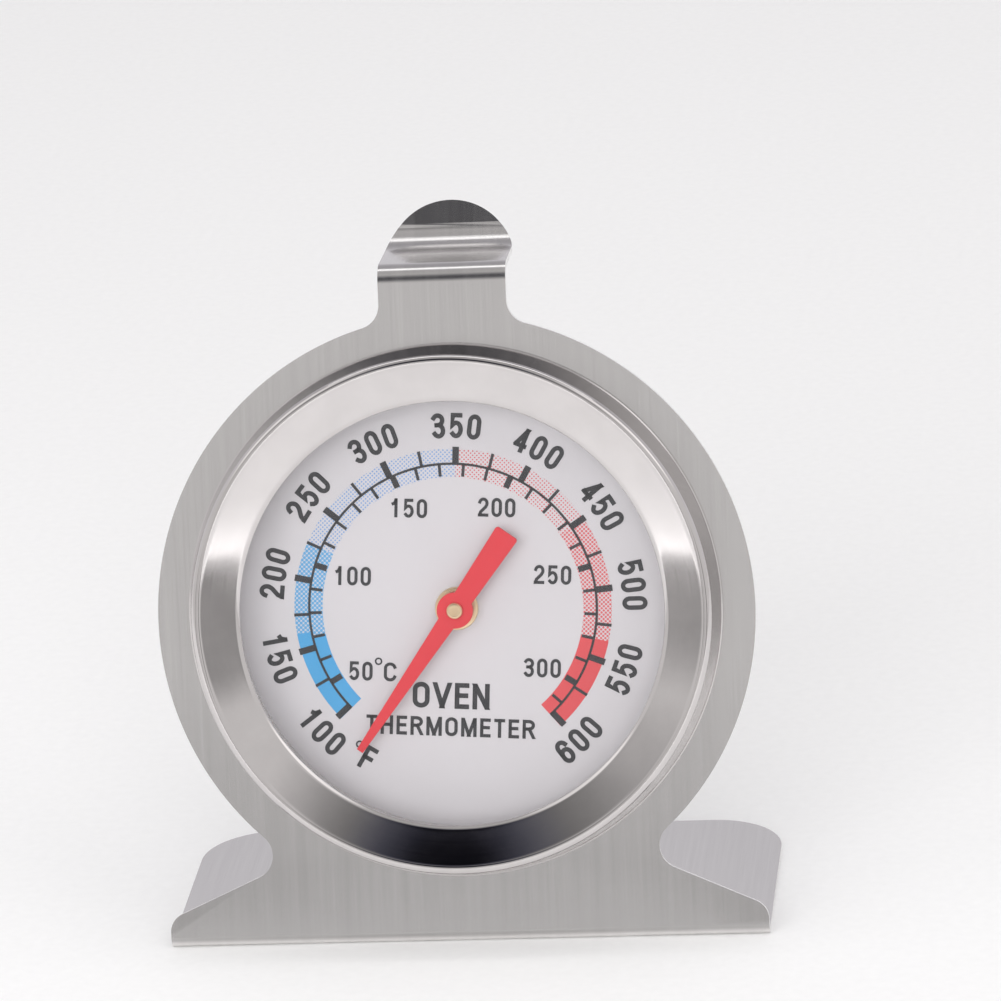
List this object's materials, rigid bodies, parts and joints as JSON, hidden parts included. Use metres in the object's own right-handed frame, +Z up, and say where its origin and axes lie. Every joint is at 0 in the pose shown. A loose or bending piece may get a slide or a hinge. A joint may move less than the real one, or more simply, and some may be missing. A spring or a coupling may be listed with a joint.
{
  "type": "oven thermometer",
  "caption": "Dial oven thermometer on a bent steel stand with a foot and a rack hook; a bimetal spiral behind the dial turns its needle.",
  "frame": {"origin": "on the foot's flat underside, midway between the part's sides and midway between its front and back", "axes": "+Z up, +X to the right when the dial is read, +Y backwards, away from the reader"},
  "size_m": [0.06, 0.0324, 0.0694],
  "materials": {
    "brushed_sheet": "fine vertical brushing",
    "polished_steel": "polished",
    "case_steel": "drawn, satin",
    "inner_steel": "satin",
    "lens_glass": "clear, polished",
    "gasket": "matt heat-proof seal",
    "dial_paint": "printed, satin",
    "needle_paint": "satin enamel",
    "brass": "turned",
    "bimetal": "rolled strip"
  },
  "bodies": {
    "case": {"stand": "brushed_sheet", "bezel_ring": "polished_steel", "glass_lens": "lens_glass", "lens_gasket": "gasket", "spacer_ring": "inner_steel", "dial_plate": "dial_paint", "dial_bush": "brass", "back_case": "case_steel", "clamp_ring": "case_steel", "bimetal_coil": "bimetal", "coil_anchor": "inner_steel", "coil_rivet": "inner_steel", "bridge": "inner_steel", "rear_bearing": "brass", "bridge_spacer_left": "inner_steel", "bridge_spacer_right": "inner_steel", "bridge_rivet_left": "case_steel", "bridge_rivet_right": "case_steel"},
    "needle": {"pointer": "needle_paint", "pointer_hub": "brass", "staff": "brass", "coil_collet": "brass", "staff_clip": "inner_steel"}
  },
  "joints": [
    {"name": "pointer_spin", "type": "hinge", "parent": "case", "child": "needle", "pos_m": [0, -0.00597, 0.03263], "axis": [0, 0.974, -0.2267], "range_deg": [-20, 286], "stiffness_Nm_per_rad": 0.002, "deforming": ["bimetal_coil"]}
  ]
}
